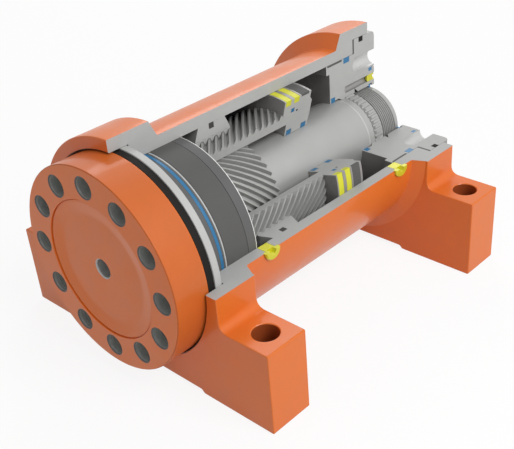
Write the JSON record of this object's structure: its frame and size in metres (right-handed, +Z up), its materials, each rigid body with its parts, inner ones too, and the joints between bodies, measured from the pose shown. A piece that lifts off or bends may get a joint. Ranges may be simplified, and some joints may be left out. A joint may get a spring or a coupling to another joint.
{
  "type": "hydraulic rotary actuator",
  "caption": "Foot-mounted helical rotary actuator shown as a cutaway: flanged output shaft, sliding helical piston, ring gear, seals and rear end cap.",
  "frame": {"origin": "centre of the output flange's bolt circle, on the flange's front face", "axes": "+Y runs from the output flange along the shaft's axis to the rear end cap, +Z is up, and the feet stand on a plane at Z = -0.124 m"},
  "size_m": [0.355, 0.4169, 0.2432],
  "materials": {
    "orange_paint": "satin enamel on cast steel, bare ground steel on the cut faces",
    "machined_steel": "turned and ground",
    "shaft_steel": "ground journal, orange enamel on the flange, blackened drum",
    "dark_steel": "blackened",
    "yellow_plug": "yellow zinc",
    "black_rubber": "matte",
    "white_bearing_plastic": "machined",
    "dark_bearing_plastic": "machined",
    "blue_seal": "polyurethane",
    "yellow_seal": "polyurethane"
  },
  "bodies": {
    "housing_body": {"housing": "orange_paint", "ring_gear": "machined_steel", "ring_gear_wire": "dark_steel", "front_port_plug": "yellow_plug", "rear_port_plug": "yellow_plug"},
    "shaft_body": {"flange_shaft": "shaft_steel", "front_wiper": "black_rubber", "front_thrust_ring": "white_bearing_plastic", "front_shaft_seal": "blue_seal", "front_backup_ring": "white_bearing_plastic", "front_bearing_ring": "dark_bearing_plastic", "end_cap": "machined_steel", "cap_wear_ring": "dark_bearing_plastic", "cap_seal": "blue_seal", "cap_shaft_seal": "blue_seal", "cap_dust_ring": "black_rubber", "rear_thrust_washer": "dark_bearing_plastic", "lock_nut": "machined_steel", "nut_set_screws": "yellow_plug", "nut_shaft_seal": "blue_seal", "nut_outer_seal": "blue_seal"},
    "seal_body": {"rod_seal_rear": "blue_seal"},
    "piston_body": {"piston_sleeve": "machined_steel", "piston_head": "machined_steel", "head_lock_wire": "dark_steel", "head_oring": "blue_seal", "piston_seal_front": "yellow_seal", "piston_seal_rear": "yellow_seal", "piston_wear_ring": "dark_bearing_plastic", "rod_seal_front": "blue_seal"}
  },
  "joints": [
    {"name": "shaft_turn", "type": "hinge", "parent": "housing_body", "child": "shaft_body", "pos_m": [0, 0, 0], "axis": [0, 1, 0], "range_deg": [-90, 90]},
    {"name": "piston_travel", "type": "slide", "parent": "housing_body", "child": "seal_body", "axis": [0, 1, 0], "range_m": [-0.04999, 0.04999]},
    {"name": "piston_turn", "type": "hinge", "parent": "seal_body", "child": "piston_body", "pos_m": [0, 0, 0], "axis": [0, 1, 0], "range_deg": [-39.79, 39.79]}
  ],
  "couplings": [
    {"joint": "piston_travel", "follows": "shaft_turn", "m_per_rad": -0.031814},
    {"joint": "piston_turn", "follows": "shaft_turn", "ratio": 0.44186}
  ]
}
